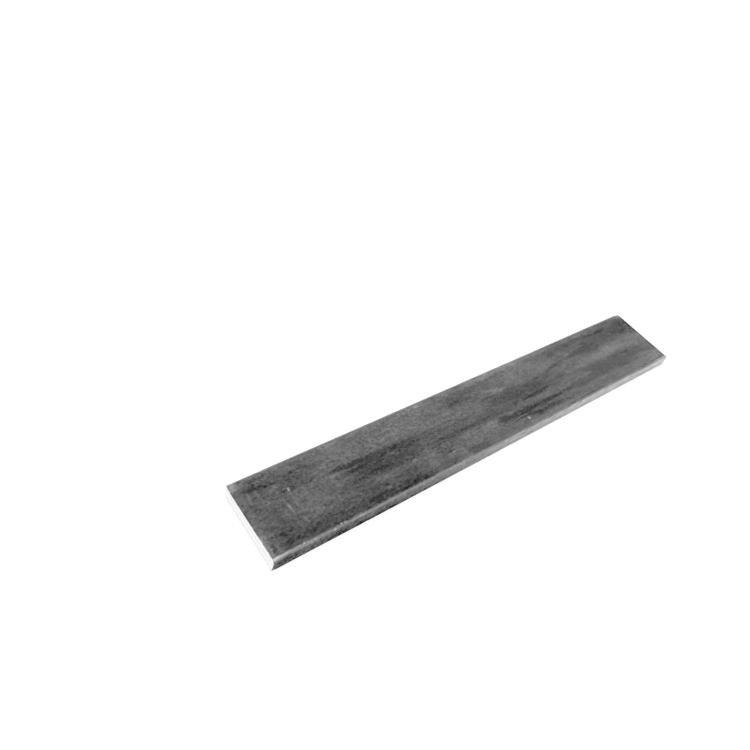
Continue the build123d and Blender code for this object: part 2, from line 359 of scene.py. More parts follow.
    (24.5, 1.9, 1.6, 0.4, -0.34), (27.0, 2.2, 0.9, 0.6, 0.12), (27.4, 1.6, 1.8, 0.9, -0.20),
    (31.0, 1.7, 1.0, 0.5, 0.20), (33.0, 0.3, 6.5, 0.5, 0.14), (37.2, 1.9, 0.8, 0.5, 0.18),
    (38.0, 2.3, 1.4, 0.5, 0.12), (39.4, 1.8, 0.7, 0.3, -0.20), (43.6, 1.6, 1.0, 0.5, 0.14),
    (44.0, 2.2, 2.2, 1.2, 0.20), (46.5, 1.7, 0.9, 0.4, 0.12), (47.4, 2.6, 1.6, 1.6, 0.20),
    (49.5, 1.9, 2.6, 0.4, -0.30), (55.4, 2.2, 0.7, 0.6, -0.38), (55.8, 2.1, 1.4, 0.6, -0.12),
    (58.0, 2.1, 1.0, 0.6, 0.26), (59.8, 2.0, 1.2, 0.5, -0.34), (60.5, 0.3, 3.0, 0.5, 0.16),
    (60.5, 1.7, 4.6, 0.8, -0.20), (63.6, 1.5, 1.9, 0.4, -0.22), (67.5, 0.3, 3.0, 0.5, 0.14),
    (67.5, 2.7, 1.6, 1.0, 0.12), (69.5, 2.7, 7.0, 1.4, -0.18), (79.0, 2.6, 2.4, 1.2, 0.12),
    (81.0, 1.7, 1.6, 0.5, 0.14), (86.0, 2.7, 8.0, 1.2, -0.18), (98.0, 0.1, 1.6, 0.6, 0.30),
    (103.0, 0.3, 6.0, 0.5, 0.24), (103.0, 0.3, 7.0, 0.5, 0.24), (107.0, 0.0, 6.0, 0.5, 0.20),
    (114.0, 2.0, 2.2, 0.8, 0.15), (122.4, 0.6, 1.2, 0.5, -0.30), (132.5, 0.9, 1.6, 0.4, -0.16),
    (136.0, 1.2, 2.4, 0.5, -0.26), (136.5, 0.2, 3.5, 0.5, 0.26), (145.5, 1.8, 2.5, 0.5, 0.10),
    (152.0, 0.4, 2.6, 0.5, 0.24), (152.0, 2.6, 1.9, 1.7, 0.12), (152.5, 2.9, 1.3, 1.0, -0.11),
    (154.5, 0.0, 1.6, 0.7, 0.26), (160.0, 1.9, 5.0, 0.7, 0.10), (183.3, 1.2, 0.8, 0.4, -0.22),
    (185.4, 1.6, 0.8, 0.5, -0.24), (187.0, 1.9, 4.0, 0.8, 0.12), (192.0, 0.4, 5.0, 0.5, -0.20),
    (193.5, 1.9, 2.5, 0.5, 0.10), (197.8, 1.8, 0.9, 0.4, -0.08), (199.0, 1.6, 1.4, 1.2, 0.12),
    # down the near edge
    (0.8, -1.2, 1.2, 0.8, 0.12), (1.2, -4.4, 2.0, 0.5, -0.14), (2.0, -4.9, 2.6, 0.6, -0.30),
    (2.2, -4.0, 0.6, 0.6, -0.50), (3.2, -0.1, 1.1, 0.8, 0.20), (3.4, -0.3, 1.4, 0.9, 0.28),
    (4.0, -1.9, 2.6, 0.7, -0.24), (5.3, -0.7, 1.0, 1.2, -0.25), (5.4, -1.9, 1.8, 0.7, -0.24),
    (5.6, -3.5, 0.9, 0.5, 0.18), (5.9, -2.2, 0.6, 0.5, -0.60), (7.3, -4.0, 0.7, 0.5, -0.26),
    (8.5, -1.9, 0.8, 0.8, -0.34), (10.8, -3.4, 1.6, 0.7, 0.32), (10.8, -3.1, 2.0, 0.6, 0.10),
    (11.8, -4.1, 0.5, 0.6, -0.36), (12.4, -2.3, 0.7, 0.8, 0.16), (12.5, -0.4, 4.5, 0.5, 0.12),
    (14.0, -2.4, 1.2, 0.8, -0.20), (15.6, -2.0, 1.6, 0.7, -0.10), (17.0, -2.2, 1.6, 0.7, -0.10),
    (17.8, -4.9, 1.4, 0.7, -0.34), (19.6, -4.1, 0.4, 0.6, -0.70), (20.6, -3.2, 0.9, 0.7, -0.24),
    (21.0, -4.4, 4.5, 0.5, -0.16), (21.5, -2.3, 3.0, 0.6, -0.15), (23.4, -2.6, 1.6, 0.6, -0.34),
    (24.0, -2.1, 0.9, 0.6, -0.16), (25.2, -4.8, 1.7, 0.8, -0.60), (25.6, -4.0, 0.6, 0.7, -0.90),
    (25.8, -1.3, 0.8, 0.6, 0.14), (26.8, -4.1, 0.8, 0.7, -0.44), (28.2, -2.4, 1.6, 0.8, -0.14),
    (30.2, -4.1, 0.6, 0.7, -0.84), (30.5, -0.9, 5.0, 1.2, -0.15), (32.2, -4.2, 1.2, 0.5, -0.28),
    (32.3, -5.0, 1.5, 0.8, -1.10), (32.4, -4.2, 1.2, 1.0, -1.80), (34.4, -3.4, 0.8, 0.6, 0.18),
    (36.0, -3.4, 2.2, 0.5, 0.12), (36.9, -4.1, 0.5, 0.7, -1.00), (37.2, -1.2, 1.4, 1.1, 0.13),
    (37.4, -2.8, 1.2, 1.0, 0.12), (39.1, -4.1, 0.7, 0.8, -1.10), (40.4, -1.3, 0.8, 1.0, -0.28),
    (41.0, -4.0, 1.2, 0.6, -0.16), (41.8, -4.0, 1.1, 0.9, -0.44), (44.2, -0.6, 0.8, 0.7, 0.30),
    (44.8, -4.2, 1.0, 0.9, -1.80), (45.2, -2.4, 1.2, 0.7, -0.32), (45.6, -4.2, 0.7, 0.8, -1.10),
    (50.0, -4.0, 1.8, 0.7, -0.36), (51.8, -1.4, 0.9, 1.3, -0.14), (54.2, -4.1, 0.7, 0.8, -1.00),
    (54.2, -2.4, 0.6, 0.7, 0.14), (56.0, -4.8, 1.7, 0.7, -0.34), (57.0, -1.9, 1.2, 1.4, 0.13),
    (58.2, -3.2, 0.7, 0.5, 0.50), (59.6, -4.2, 0.7, 0.7, -0.60), (61.0, -4.0, 1.2, 0.6, -0.36),
    (63.0, -1.7, 0.8, 0.8, -0.12), (64.6, -4.0, 0.9, 0.6, -0.34), (67.0, -3.3, 1.2, 0.9, -0.34),
    (67.5, -4.0, 1.6, 0.7, -0.50), (67.5, -3.6, 2.5, 0.6, -0.12), (74.0, -3.7, 2.6, 0.7, -0.14),
    (86.0, -2.9, 2.2, 1.2, -0.18), (93.5, -3.4, 4.6, 0.9, -0.40), (94.5, -0.6, 1.6, 0.6, -0.14),
    (101.5, -1.9, 4.0, 0.5, 0.12), (101.5, -1.0, 3.4, 0.4, -0.16), (109.5, -0.7, 3.4, 0.8, -0.38),
    (112.0, -2.6, 1.6, 1.2, -0.26), (123.0, -2.2, 6.0, 2.0, -0.20), (129.0, -2.8, 4.0, 1.1, -0.36),
    (142.4, -0.1, 2.4, 0.6, 0.60), (142.8, -2.9, 2.4, 1.0, -0.32), (150.6, -1.6, 2.0, 0.7, -0.20),
    (152.2, -1.2, 1.4, 0.9, -0.26), (159.5, -1.4, 1.3, 0.9, -0.22), (160.4, -2.4, 2.6, 0.9, 0.36),
    (166.5, -0.4, 5.0, 0.6, 0.34), (168.0, -0.6, 3.4, 0.9, 0.32), (180.5, -4.0, 2.0, 0.5, -0.20),
    (184.0, -2.0, 8.0, 3.0, -0.14), (189.6, -2.9, 2.0, 1.1, -0.70), (196.2, -0.4, 1.2, 0.7, -0.80),
]
# The ones that run askew: the same, then their rise towards the right.
SLANTED_MARKS = [
    (6.0, 24.9, 2.4, 1.2, -0.30, -0.05), (7.8, 3.9, 1.6, 0.8, -0.22, 0.30),
    (10.0, 24.1, 3.2, 0.8, -0.22, -0.12), (11.8, 3.2, 1.0, 0.5, -0.34, 0.30),
    (14.0, 3.9, 1.6, 0.9, -0.24, -0.30), (16.0, 3.3, 1.0, 0.6, -0.36, 0.60),
    (18.6, 6.4, 3.2, 0.9, -0.10, 0.05), (29.4, 6.0, 4.6, 0.8, -0.12, -0.22),
    (38.0, 18.4, 8.0, 0.9, -0.34, -0.03), (47.6, 23.0, 0.7, 2.0, -0.12, -1.60),
    (53.6, 15.8, 1.4, 1.2, 0.09, -0.40), (55.0, 15.6, 2.2, 0.8, 0.16, -0.60),
    (62.5, 11.6, 2.8, 1.3, -0.14, -0.30), (84.0, 11.5, 18.0, 1.1, -0.21, -0.01),
    (97.0, 8.0, 6.0, 1.8, 0.08, 0.15), (107.0, 17.0, 2.6, 0.8, -0.12, 0.60),
    (110.5, 20.5, 4.2, 0.9, 0.20, -0.22), (112.8, 6.8, 2.0, 0.4, -0.56, 0.05),
    (117.5, 15.6, 1.4, 0.6, -0.12, 0.80), (118.0, 7.2, 5.0, 0.8, -0.34, 0.03),
    (122.0, 10.0, 19.0, 0.6, 0.06, 0.02), (126.5, 12.2, 7.0, 0.8, -0.34, 0.03),
    (133.0, 7.2, 2.6, 0.8, -0.16, -0.10), (137.5, 11.4, 4.5, 0.8, -0.08, 0.15),
    (140.0, 7.4, 4.4, 1.0, -0.09, -0.18), (140.6, 19.9, 1.9, 0.7, 0.12, 0.20),
    (142.0, 7.8, 5.0, 0.8, -0.16, 0.10), (143.5, 19.4, 8.0, 0.8, -0.17, 0.17),
    (170.8, 18.0, 2.8, 1.3, -0.12, 0.50), (176.0, 15.5, 20.0, 2.6, 0.17, 0.01),
    (191.8, 20.9, 2.6, 0.8, -0.14, 0.10), (193.0, 8.0, 3.5, 0.7, -0.14, -0.10),
    (2.4, -2.4, 0.7, 0.5, -0.60, -1.10), (7.2, -3.0, 0.6, 0.5, 0.36, -1.00),
    (7.5, -2.0, 0.6, 0.5, -0.56, -1.10), (9.9, -2.1, 0.7, 0.5, -0.60, -1.10),
    (17.3, -2.2, 0.6, 0.9, -0.40, -0.80), (21.7, -3.0, 0.5, 0.6, -0.60, -1.10),
    (22.1, -2.3, 0.5, 0.8, -0.34, -1.10), (22.7, -3.1, 0.5, 0.6, -0.56, -1.10),
    (23.2, -2.1, 0.5, 0.9, -0.46, -1.10), (23.7, -3.7, 0.6, 0.7, -0.76, -1.00),
    (24.2, -1.8, 0.5, 0.8, -0.36, -1.10), (24.5, -3.0, 0.5, 0.6, -0.70, -1.10),
    (25.5, -2.5, 0.5, 0.7, -0.76, -1.10), (31.4, -2.5, 0.5, 0.6, -0.44, -0.80),
    (35.4, -3.9, 0.6, 0.6, -0.50, -1.00), (39.8, -2.1, 0.5, 0.6, -0.70, -0.80),
    (41.5, -1.9, 0.5, 0.6, -0.50, -0.80), (43.7, -3.9, 0.6, 0.7, -1.10, -0.80),
    (53.2, -3.6, 0.5, 0.6, -0.70, -0.80), (58.6, -4.0, 0.7, 0.9, -0.96, -0.80),
]
SCALE_AND_SHADE_MARKS = [(*mark, 0.0) for mark in STRAIGHT_MARKS] + SLANTED_MARKS
MARK_CORE = 0.5                 # the inner share of a mark's half sizes that is even
MARK_RIM = 1.3                  # where it has faded out, over its half sizes
SEARCH_MARGIN = 3.0             # millimetres past a mark's end that it may still touch


def scale_and_shade_tone(from_left, from_near, marks):
    """How much darker or lighter the scale is at this point of the top or near edge, with the
    painted shade of some marks. Long marks sway and wander, as the rollers drew them, and every
    mark has a ragged rim."""
    sway_along = 3.2 * unevenness(from_left, from_near, 7, 0.9, 3)
    sway_across = 0.55 * unevenness(from_left, from_near, 6, 2.5, 9)
    ragged_along = 0.55 * unevenness(from_left, from_near, 1.1, 0.8, 15)
    ragged_across = 0.45 * unevenness(from_left, from_near, 1.3, 0.9, 22)
    tone = 0.0
    for place, height, half_long, half_wide, strength, rise in marks:
        along = from_left + sway_along * min(1.0, half_long / 6) + ragged_along - place
        across = from_near + sway_across * min(1.0, half_wide) + ragged_across - height
        across -= rise * along
        off = math.hypot(along / half_long, across / half_wide)
        if off < MARK_RIM:
            tone += strength * (1 - smooth(off, MARK_CORE, MARK_RIM))
    return tone


# Where something has scraped or nicked the skin down to steel, which at the near corner of
# the left cut also carries a painted glint: from_left and from_near of its start, the same of
# its end, half its width and how bright the steel shows.
SCRAPES_AND_GLINT = [
    # on the near corner, and down the near edge at the cut; the two brightest at the cut's corner
    # paint its glint
    (0.0, -0.4, 0.0, -4.6, 0.42, 0.34), (0.0, 0.4, 0.7, 0.5, 0.60, 0.80),
    (0.3, 1.1, 2.0, 1.1, 0.35, 1.00), (3.8, 1.1, 5.2, 1.1, 0.28, 0.78),
    (9.1, 1.1, 9.3, 1.2, 0.30, 0.66), (10.7, 1.2, 10.9, 1.3, 0.34, 0.80),
    (12.0, 1.2, 12.1, 1.3, 0.28, 0.60), (14.3, 0.8, 14.8, 0.8, 0.30, 0.56),
    (21.3, 0.6, 22.0, 0.6, 0.36, 0.78), (24.3, 1.5, 24.4, 0.9, 0.26, 0.50),
    (25.4, 1.1, 26.2, 1.0, 0.30, 0.50), (31.0, 0.9, 32.0, 0.9, 0.30, 0.50),
    # on the top
    (4.4, 23.4, 3.6, 19.6, 0.50, 0.11), (6.7, 23.5, 7.1, 21.6, 0.45, 0.13),
    (8.6, 18.6, 7.6, 16.8, 0.40, 0.06), (11.2, 12.8, 11.9, 11.2, 0.60, 0.08),
    (12.9, 18.2, 13.4, 15.4, 0.30, 0.08), (13.5, 14.7, 13.6, 13.2, 0.40, 0.26),
    (13.6, 13.0, 13.8, 11.4, 0.32, 0.16), (15.5, 8.4, 16.1, 6.8, 0.50, 0.14),
    (16.3, 16.0, 16.2, 13.6, 0.60, 0.08), (16.4, 18.6, 16.3, 17.0, 0.40, 0.10),
    (16.5, 19.7, 16.4, 19.1, 0.42, 0.46), (16.8, 12.0, 16.9, 10.8, 0.40, 0.07),
    (22.7, 24.2, 23.1, 24.0, 0.40, 0.14), (28.3, 19.5, 28.6, 19.3, 0.45, 0.16),
    (30.5, 27.3, 30.9, 27.2, 0.35, 0.20), (31.0, 17.0, 33.5, 16.7, 0.60, 0.07),
    (33.6, 8.9, 36.4, 7.0, 0.35, 0.09), (38.0, 19.4, 38.2, 18.9, 0.40, 0.16),
    (40.0, 16.6, 41.0, 16.5, 0.40, 0.10), (45.8, 5.0, 46.4, 4.8, 0.50, 0.12),
    (75.0, 28.4, 75.6, 27.8, 0.50, 0.20), (113.2, 4.4, 113.5, 3.9, 0.42, 0.70),
    (133.6, 24.6, 134.2, 24.6, 0.50, 0.10), (136.0, 22.3, 136.8, 21.6, 0.70, 0.07),
    (153.8, 21.8, 155.4, 21.5, 0.45, 0.20), (183.5, 22.9, 185.4, 21.8, 0.30, 0.08),
    (192.4, 12.4, 192.6, 11.6, 0.50, 0.10), (197.8, 15.8, 198.6, 15.4, 0.40, 0.10),
]
SCRAPE_DEPTH = 0.03 * MM        # of the brightest


def scraped_and_glint(from_left, from_near, scrapes):
    """How bright the steel shows here, painted glint included: the scrape's brightness in its
    middle, 0 off it.
    """
    here = Vector((from_left, from_near))
    most = 0.0
    for start_x, start_y, end_x, end_y, half_wide, strength in scrapes:
        start = Vector((start_x, start_y))
        run = Vector((end_x, end_y)) - start
        share = min(max((here - start).dot(run) / run.length_squared, 0.0), 1.0)
        off = (here - start - share * run).length
        most = max(most, strength * (1 - smooth(off, 0.3 * half_wide, 1.4 * half_wide)))
    return most


def rub_and_highlight_reach(from_left, near_side):
    """How far in from the edge, in millimetres, the corner is rubbed back to steel, and on the
    near side carries its painted highlight: least on the far side, and on the near side most
    where the left end was knocked."""
    if not near_side:
        return 0.9
    left_end, right_half = smooth(from_left, 8.0, 20.0), smooth(from_left, 80.0, 105.0)
    return 1.46 - 0.32 * left_end + 0.16 * right_half


def near_edge_painted_sheen(from_left, from_near, z):
    """A painted sheen down the near edge, drawn as clean steel: none at the left, then more and
    more to the right, a little more towards the top, and less near its foot."""
    shine = 0.60 * smooth(from_left, 25.0, 130.0) + 0.05 * smooth(from_left, 124.0, 142.0)
    shine += 0.17 * smooth(from_left, 168.0, 200.0)
    return shine * (0.87 + 0.23 * z / THICKNESS - 0.08 * smooth(-from_near, 2.0, 3.2))


def corner_rub_and_highlight_fade(from_left, from_near):
    """How the near corner's rubbed steel and painted highlight fade inwards over the top: gently
    at the left, and towards the right at the corner itself."""
    gentle = 1 - 0.42 * smooth(from_near, 0.65, 1.25)
    # At the left cut the band is brightest along its inner side, a painted highlight.
    gentle += 1.2 * (1 - smooth(from_left, 2.0, 11.0)) * smooth(from_near, 0.6, 0.9)
    # The last stretch fades a little nearer to the edge.
    drawn_out = 0.13 * smooth(from_left, 170.0, 186.0)
    steep = 1 - 0.74 * smooth(from_near + drawn_out, 0.35, 0.78)
    steep -= 0.15 * smooth(from_near, 0.9, 1.4)
    share = smooth(from_left, 78.0, 98.0) - 0.5 * smooth(from_left, 189.0, 194.0)
    return gentle + (steep - gentle) * share


def rub_and_sheen_level(from_left, from_near, z, angle, near_side):
    """How much of the steel colour shows: the rubbed tops of the corners at the left, with a
    painted highlight on the near corner, and a painted sheen over the whole of the near edge
    towards the right."""
    upward = max(math.sin(angle), 0.0)
    if not near_side:
        return 0.25 * upward ** 2.4
    at_side = near_edge_painted_sheen(from_left, from_near, z)
    at_corner = max(0.34, at_side + 0.03)
    # Strongest where the near corner's round faces up: a painted highlight on rubbed steel.
    return (at_side + (at_corner - at_side) * upward ** 1.3) * corner_rub_and_highlight_fade(from_left, from_near)


def brokenness(from_left, from_near, tone):
    """How rough and speckled the scale is: most at the left, down the left half of the
    near edge, and where it is thick."""
    level = 1 - 0.55 * smooth(from_left, 40.0, 190.0)
    if from_near < 0:
        level += 0.8 * (1 - smooth(from_left, 60.0, 120.0))
    patch = unevenness(from_left, from_near, 9, 5, 31)
    thick = min(max(0.0, -tone), 0.5)
    return level * (0.70 + 0.45 * patch + 1.8 * thick)


# ======================================================================
# The skin's mesh
# ======================================================================

# What the finish reads at each point of the skin.
MARK_NAMES = ("scale_and_shade_tone", "broken", "scraped_and_glint", "rub_and_highlight_reach", "rub_and_sheen_level")


def flat_bar_mesh():
    """One closed skin, rings along the bar and a grid across each cut end, with its marks
    at each point."""
    outline = rolled_section()
    around = len(outline)
    places = stations()
    points = []
    marks = {name: [] for name in MARK_NAMES}
    for ring, x in enumerate(places):
        at_cut = ring in (0, len(places) - 1)
        from_left = (x + LENGTH / 2) / MM
        near_marks = [mark for mark in SCALE_AND_SHADE_MARKS
                      if abs(from_left - mark[0]) < MARK_RIM * mark[2] + SEARCH_MARGIN]
        near_scrapes_and_glint = [scrape_and_glint for scrape_and_glint in SCRAPES_AND_GLINT
                        if scrape_and_glint[0] - SEARCH_MARGIN < from_left < scrape_and_glint[2] + SEARCH_MARGIN]
        for y, z, angle in outline:
            on_top = math.sin(angle) > 0.7
            near_side = y < 0
            from_near = (y + WIDTH / 2) / MM if on_top else (z - THICKNESS) / MM
            tone = layered(x, y, z, HIDDEN_SIDE_LAYERS)
            scrape_and_glint = 0.0
            # Down the near edge the placed marks reach over most of its lower corner too, so that
            # their dark ones paint shade at its foot.
            if on_top or (near_side and math.sin(angle) > -0.9):
                tone = scale_and_shade_tone(from_left, from_near, near_marks)
                scrape_and_glint = scraped_and_glint(from_left, from_near, near_scrapes_and_glint)
            outward = layered(x, y, z, RELIEF_LAYERS) * MM - SCRAPE_DEPTH * scrape_and_glint
            if at_cut:
                outward = -ARRIS_BREAK
                scrape_and_glint = 0.6 if near_side and not on_top else 0.0
            outward -= knock_depth(x, y, z)
            points.append((x + cut_sway(x, y, z), y + outward * math.cos(angle),
                           z + outward * math.sin(angle)))
            here = (tone, brokenness(from_left, from_near, tone), scrape_and_glint,
                    rub_and_highlight_reach(from_left, near_side),
                    rub_and_sheen_level(from_left, from_near, z, angle, near_side))
            for name, value in zip(MARK_NAMES, here):
                marks[name].append(value)
    faces = []
    for ring in range(len(places) - 1):
        start, after = ring * around, (ring + 1) * around
        for step in range(around):
            turn = (step + 1) % around
            faces.append((start + step, start + turn, after + turn, after + step))
    skin_faces = len(faces)
    for ring, side in ((0, -1), (len(places) - 1, 1)):
        close_cut_end(points, faces, ring * around, around, side)
    mesh = bpy.data.meshes.new("rolled_bar")
    mesh.from_pydata(points, [], faces)
    for name, values in marks.items():
        values += [0.0] * (len(points) - len(values))
        mesh.attributes.new(name, "FLOAT", "POINT").data.foreach_set("value", values)
    return mesh, skin_faces


def close_cut_end(points, faces, first, around, side):
    """Fills the ring of points that starts at first with a grid, blended between its
    four runs, and roughens the inside of it as the saw did."""
    corner = FACE_STEPS // 2 + ROUND_STEPS // 2
    wide = 2 * corner
    tall = around // 2 - wide

    def ring_point(step):
        return first + step % around

    top = [ring_point(step) for step in range(-corner, corner + 1)]
    bottom = [ring_point(around // 2 + corner - step) for step in range(wide + 1)]
    near = [ring_point(around // 2 + corner + step) for step in range(tall + 1)]
    far = [ring_point(around // 2 - corner - step) for step in range(tall + 1)]
    grid = [[None] * (tall + 1) for _ in range(wide + 1)]
    for step in range(wide + 1):
        grid[step][0], grid[step][tall] = bottom[step], top[step]
    for step in range(tall + 1):
        grid[0][step], grid[wide][step] = near[step], far[step]
    place = [Vector(points[index]) for index in range(first, first + around)]

    def at(index):
        return place[index - first]

    for i in range(1, wide):
        for j in range(1, tall):
            u, v = i / wide, j / tall
            point = (at(bottom[i]) * (1 - v) + at(top[i]) * v
                     + at(near[j]) * (1 - u) + at(far[j]) * u
                     - at(near[0]) * (1 - u) * (1 - v) - at(near[tall]) * (1 - u) * v
                     - at(far[0]) * u * (1 - v) - at(far[tall]) * u * v)
            point.x += side * saw_relief(point.y, point.z)
            grid[i][j] = len(points)
            points.append(tuple(point))
    for i in range(wide):
        for j in range(tall):
            face = (grid[i][j], grid[i + 1][j], grid[i + 1][j + 1], grid[i][j + 1])
            faces.append(face if side > 0 else tuple(reversed(face)))


# ======================================================================
# Finishes
# ======================================================================

NOISE_LOW, NOISE_HIGH = 0.3, 0.7        # what a noise pattern mostly lies between


def linear(hex_colour):
    """An sRGB hex colour as linear red, green, blue and alpha."""
    channels = [int(hex_colour[start:start + 2], 16) / 255 for start in (1, 3, 5)]
    curve = [c / 12.92 if c <= 0.04045 else ((c + 0.055) / 1.055) ** 2.4 for c in channels]
    return (*curve, 1.0)


def fill(tree, made, inputs):
    """Sets or links each input given. A node given as a value means its first output."""
    for socket, value in inputs.items():
        if isinstance(value, bpy.types.Node):
            value = value.outputs[0]
        if isinstance(value, bpy.types.NodeSocket):
            tree.links.new(value, made.inputs[socket])
        else:
            made.inputs[socket].default_value = value


def node(tree, kind, inputs=None, **settings):
    """Adds one node, sets its properties, and sets or links each input given."""
    made = tree.nodes.new(kind)
    for name, value in settings.items():
        setattr(made, name, value)
    fill(tree, made, inputs or {})
    return made


def paint_ramp(ramp, stops):
    """Gives a colour ramp its stops, from position 0 to position 1."""
    ramp.elements[0].color = linear(stops[0][1])
    ramp.elements[1].color = linear(stops[-1][1])
    for position, colour in stops[1:-1]:
        ramp.elements.new(position).color = linear(colour)


def new_finish(name):
    """An empty node material, its tree, its shader and a point's place in millimetres."""
    finish = bpy.data.materials.new(name)
    finish.use_nodes = True
    tree = finish.node_tree
    shader = tree.nodes["Principled BSDF"]
    place = node(tree, "ShaderNodeTexCoord").outputs["Object"]
    place_mm = node(tree, "ShaderNodeVectorMath", {0: place, "Scale": 1 / MM}, operation="SCALE")
    return finish, tree, shader, place_mm


# The patterns in the scale: size in millimetres along the bar, across it and up its
# edges, how many finer octaves ride on it and how rough they are.
SCALE_PATTERNS = {
    "roll_streak": (32.0, 1.5, 1.5, 4.0, 0.50),     # what the rollers drew out
    "cloud": (9.0, 4.0, 4.0, 3.0, 0.50),            # thicker and thinner scale
    "drawn_line": (4.5, 0.5, 1.0, 3.0, 0.60),       # fine lines along the bar
    "lump": (2.2, 1.6, 2.4, 2.0, 0.60),             # the scale's broken surface
    "oxide_grain": (1.0, 0.8, 1.9, 2.0, 0.60),      # finer than 0.1 mm: drawn coarser to show
    "pinhole": (1.3, 1.1, 2.2, 1.0, 0.50),          # 0.2 mm pits: drawn coarser to show
}
# How much each adds to the tone, everywhere and where the scale is broken.
EVEN_SHARES = {"roll_streak": 0.20, "cloud": 0.14, "drawn_line": 0.14}
BROKEN_SHARES = {"drawn_line": 0.16, "lump": 0.76, "oxide_grain": 0.78}
PINHOLE_DEPTH = 0.24            # how much darker a pinhole is
MIDDLE_TONE = 0.54              # of plain scale
BLACKEST = -0.6                 # the lowest tone
# The scale's colour at each tone: black in its pits, then from thick to thin.
SCALE_COLOURS = (
    (BLACKEST, "#121212"),
    (0.0, "#2c2c2c"),
    (0.25, "#4a4a4a"),
    (0.5, "#666666"),
    (0.75, "#838383"),
    (1.0, "#a2a2a2"),
)
SCALE_METALLIC = 0.55           # of sound scale, which is half metallic
SCALE_GLOSS = 0.5               # and its specular level
# Bare steel of the rubbed corners, and the colour of the painted highlight, glint and sheen.
RUBBED_STEEL_AND_SHEEN = "#dadada"
RUB_RAGGED = 1.1                # width of the strip that the rubbing's ragged edge lies in
RUB_SOFT = 0.25                 # half the width over which it fades, both in millimetres
RUB_LINES = 0.26                # how much more or less than the rest a line of it is worn
LUMP_HEIGHT = 0.03 * MM


